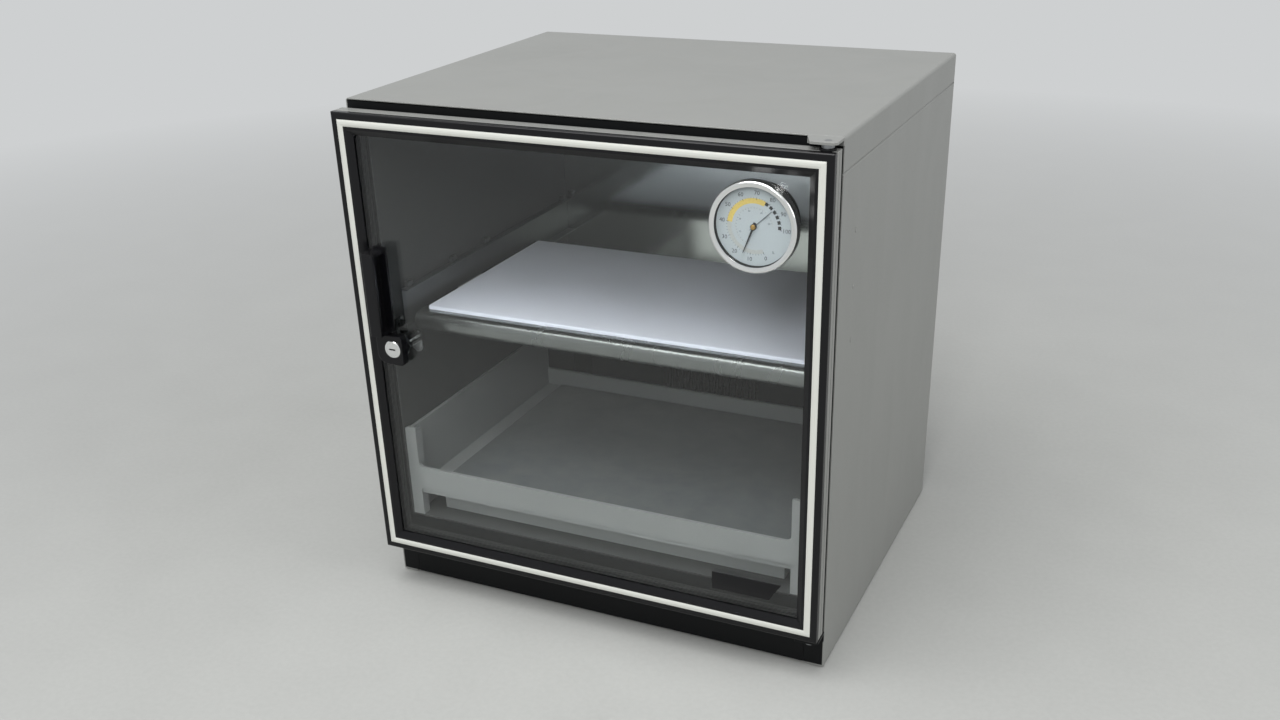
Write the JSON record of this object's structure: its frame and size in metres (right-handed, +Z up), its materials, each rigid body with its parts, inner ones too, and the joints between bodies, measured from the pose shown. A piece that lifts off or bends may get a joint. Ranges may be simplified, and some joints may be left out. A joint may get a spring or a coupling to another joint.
{
  "type": "camera dry cabinet",
  "caption": "Free-standing dry cabinet for cameras: glazed hinged door with lock and round thermo-hygrometer, pull-out shelf, moulded rack and rear desiccant dry unit.",
  "frame": {"origin": "middle of the footprint of the whole cabinet, door handle and vent cover included, on the floor under the feet", "axes": "+Z up, the door faces -Y, +X is to the right of someone facing the door, on the hinge side"},
  "size_m": [0.4086, 0.369, 0.435],
  "materials": {
    "body_paint": "fine metallic warm grey, satin",
    "black_paint": "semi-gloss black",
    "liner_paint": "satin dark grey",
    "mirror_steel": "polished sheet",
    "zinc_steel": "bright zinc plate",
    "shelf_steel": "silver satin",
    "bright_trim": "bright satin",
    "pane": "clear, smooth",
    "gloss_black": "glossy moulded",
    "matt_black": "fine moulded grain",
    "seal": "soft matt",
    "chrome_ring": "polished",
    "dial_face": "matt pale blue-white print",
    "hand_black": "satin",
    "hand_grey": "satin",
    "bimetal": "plain strip",
    "rack_smoke": "smoke grey, slightly translucent moulding",
    "mat_pale": "soft foam, fine cells",
    "mat_dark": "soft foam, fine cells",
    "desiccant": "white perforated box",
    "board": "circuit board",
    "lamp": "clear red",
    "flap": "plain moulding",
    "foot_rubber": "matt"
  },
  "bodies": {
    "cabinet": {"top_cover": "body_paint", "left_side_panel": "body_paint", "right_side_panel": "body_paint", "rear_panel": "body_paint", "base_pan": "liner_paint", "plinth_front": "black_paint", "front_frame": "black_paint", "liner_left": "liner_paint", "liner_right": "liner_paint", "liner_ceiling": "liner_paint", "liner_floor": "liner_paint", "liner_rear": "mirror_steel", "shelf_rail_left": "zinc_steel", "shelf_rail_right": "zinc_steel", "hinge_bracket_top": "body_paint", "hinge_bracket_bottom": "black_paint", "hinge_pin_top": "zinc_steel", "hinge_pin_bottom": "zinc_steel", "lock_strike": "zinc_steel", "feet": "foot_rubber", "rear_screws": "zinc_steel", "side_rivets": "body_paint", "dry_unit_case": "matt_black", "dry_unit_grille": "matt_black", "desiccant_cartridge": "desiccant", "heater_plate": "zinc_steel", "timer_board": "board", "memory_spring": "bimetal", "bias_spring": "zinc_steel", "rear_vent_cover": "matt_black", "power_inlet": "matt_black", "indicator_lamp": "lamp"},
    "door": {"door_bezel": "gloss_black", "trim_bead": "bright_trim", "glass_pane": "pane", "door_rear_frame": "body_paint", "glazing_retainer": "matt_black", "door_gasket": "seal", "handle_grip": "gloss_black", "handle_screws": "zinc_steel", "lock_housing": "gloss_black", "lock_barrel": "chrome_ring", "lock_nut": "zinc_steel", "hinge_bushes": "flap", "gauge_case": "matt_black", "gauge_dial": "dial_face", "gauge_ring": "chrome_ring", "gauge_lens": "pane", "humidity_coil": "bimetal"},
    "lock_core": {"lock_plug": "chrome_ring", "lock_cam": "zinc_steel", "cam_screw": "zinc_steel"},
    "humidity_pointer": {"humidity_hand": "hand_black"},
    "temperature_pointer": {"temperature_hand": "hand_grey"},
    "shelf": {"shelf_tray": "shelf_steel", "shelf_mat": "mat_pale"},
    "rack": {"rack_tray": "rack_smoke", "rack_mat": "mat_dark"},
    "inner_flap": {"inner_shutter": "flap"},
    "outer_flap": {"outer_shutter": "flap"}
  },
  "joints": [
    {"name": "door_hinge", "type": "hinge", "parent": "cabinet", "child": "door", "pos_m": [0.196, -0.1605, 0.233], "axis": [0, 0, 1], "range_deg": [0, 110]},
    {"name": "lock_turn", "type": "hinge", "parent": "door", "child": "lock_core", "pos_m": [-0.1682, -0.1485, 0.23645], "axis": [0, 1, 0], "range_deg": [0, 90]},
    {"name": "humidity_reading", "type": "hinge", "parent": "door", "child": "humidity_pointer", "pos_m": [0.1474, -0.1685, 0.3732], "axis": [0, 1, 0], "range_deg": [-51, 248]},
    {"name": "temperature_reading", "type": "hinge", "parent": "door", "child": "temperature_pointer", "pos_m": [0.1474, -0.1685, 0.3732], "axis": [0, 1, 0], "range_deg": [-167, 72]},
    {"name": "shelf_slide", "type": "slide", "parent": "cabinet", "child": "shelf", "axis": [0, -1, 0], "range_m": [0, 0.014]},
    {"name": "rack_slide", "type": "slide", "parent": "cabinet", "child": "rack", "axis": [0, -1, 0], "range_m": [0, 0.01]},
    {"name": "outer_shutter_turn", "type": "hinge", "parent": "cabinet", "child": "outer_flap", "pos_m": [0, 0.1716, 0.1442], "axis": [-1, 0, 0], "range_deg": [0, 40]},
    {"name": "inner_shutter_turn", "type": "hinge", "parent": "cabinet", "child": "inner_flap", "pos_m": [0, 0.1165, 0.1442], "axis": [-1, 0, 0], "range_deg": [0, 40]}
  ],
  "couplings": [
    {"joint": "inner_shutter_turn", "follows": "outer_shutter_turn", "ratio": 1}
  ]
}
